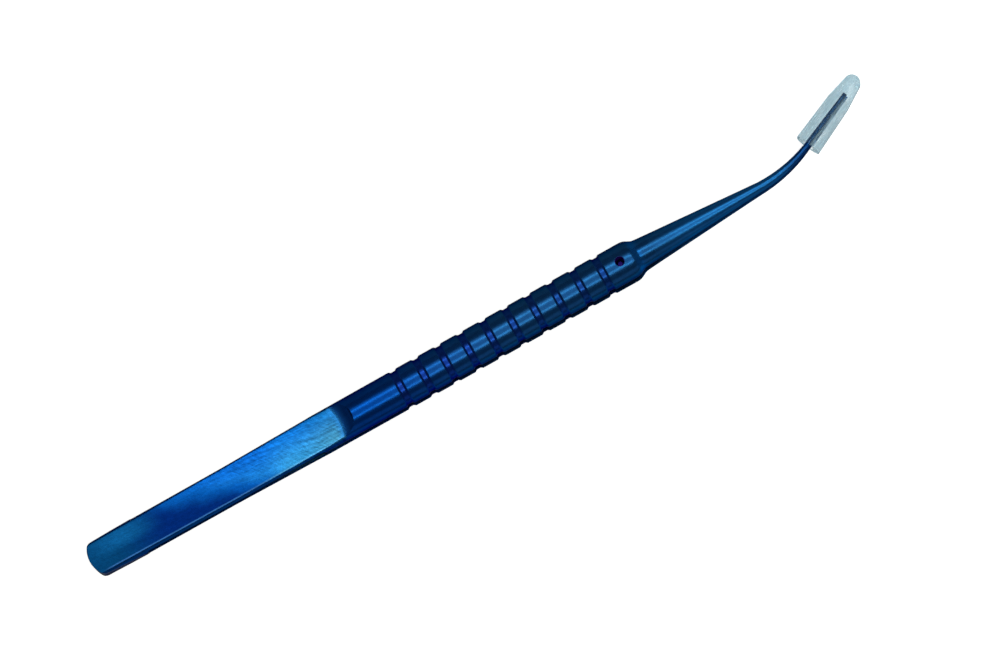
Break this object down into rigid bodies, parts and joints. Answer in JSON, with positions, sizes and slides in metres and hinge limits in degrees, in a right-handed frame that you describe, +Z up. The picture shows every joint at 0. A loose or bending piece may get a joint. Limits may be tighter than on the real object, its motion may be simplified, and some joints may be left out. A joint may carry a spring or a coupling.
{
  "type": "atraumatic forceps",
  "caption": "Round handled micro forceps with two sprung arms, angled atraumatic tips and a soft tip guard.",
  "frame": {"origin": "centre of the bottom face of the bounding box of the part as it lies on a table", "axes": "+X along the handle towards the tips, +Z up as it lies on its lower grip and its tip guard"},
  "size_m": [0.1836, 0.016, 0.0121],
  "materials": {
    "lower_arm": "blue anodised titanium, satin",
    "upper_arm": "blue anodised titanium, satin",
    "guide_pin": "turned stainless steel",
    "tip_guard": "translucent silicone"
  },
  "bodies": {
    "lower": {"lower_arm": "lower_arm", "guide_pin": "guide_pin"},
    "upper": {"upper_arm": "upper_arm"},
    "guard": {"tip_guard": "tip_guard"}
  },
  "joints": [
    {"name": "squeeze", "type": "hinge", "parent": "lower", "child": "upper", "pos_m": [-0.08181, -0.00348, 0.00516], "axis": [0, 0.9157, -0.4019], "range_deg": [0, 0.6656], "stiffness_Nm_per_rad": 10},
    {"name": "guard_slide", "type": "slide", "parent": "lower", "child": "guard", "axis": [0.9099, 0.3829, -0.1594], "range_m": [0, 0.018]}
  ]
}
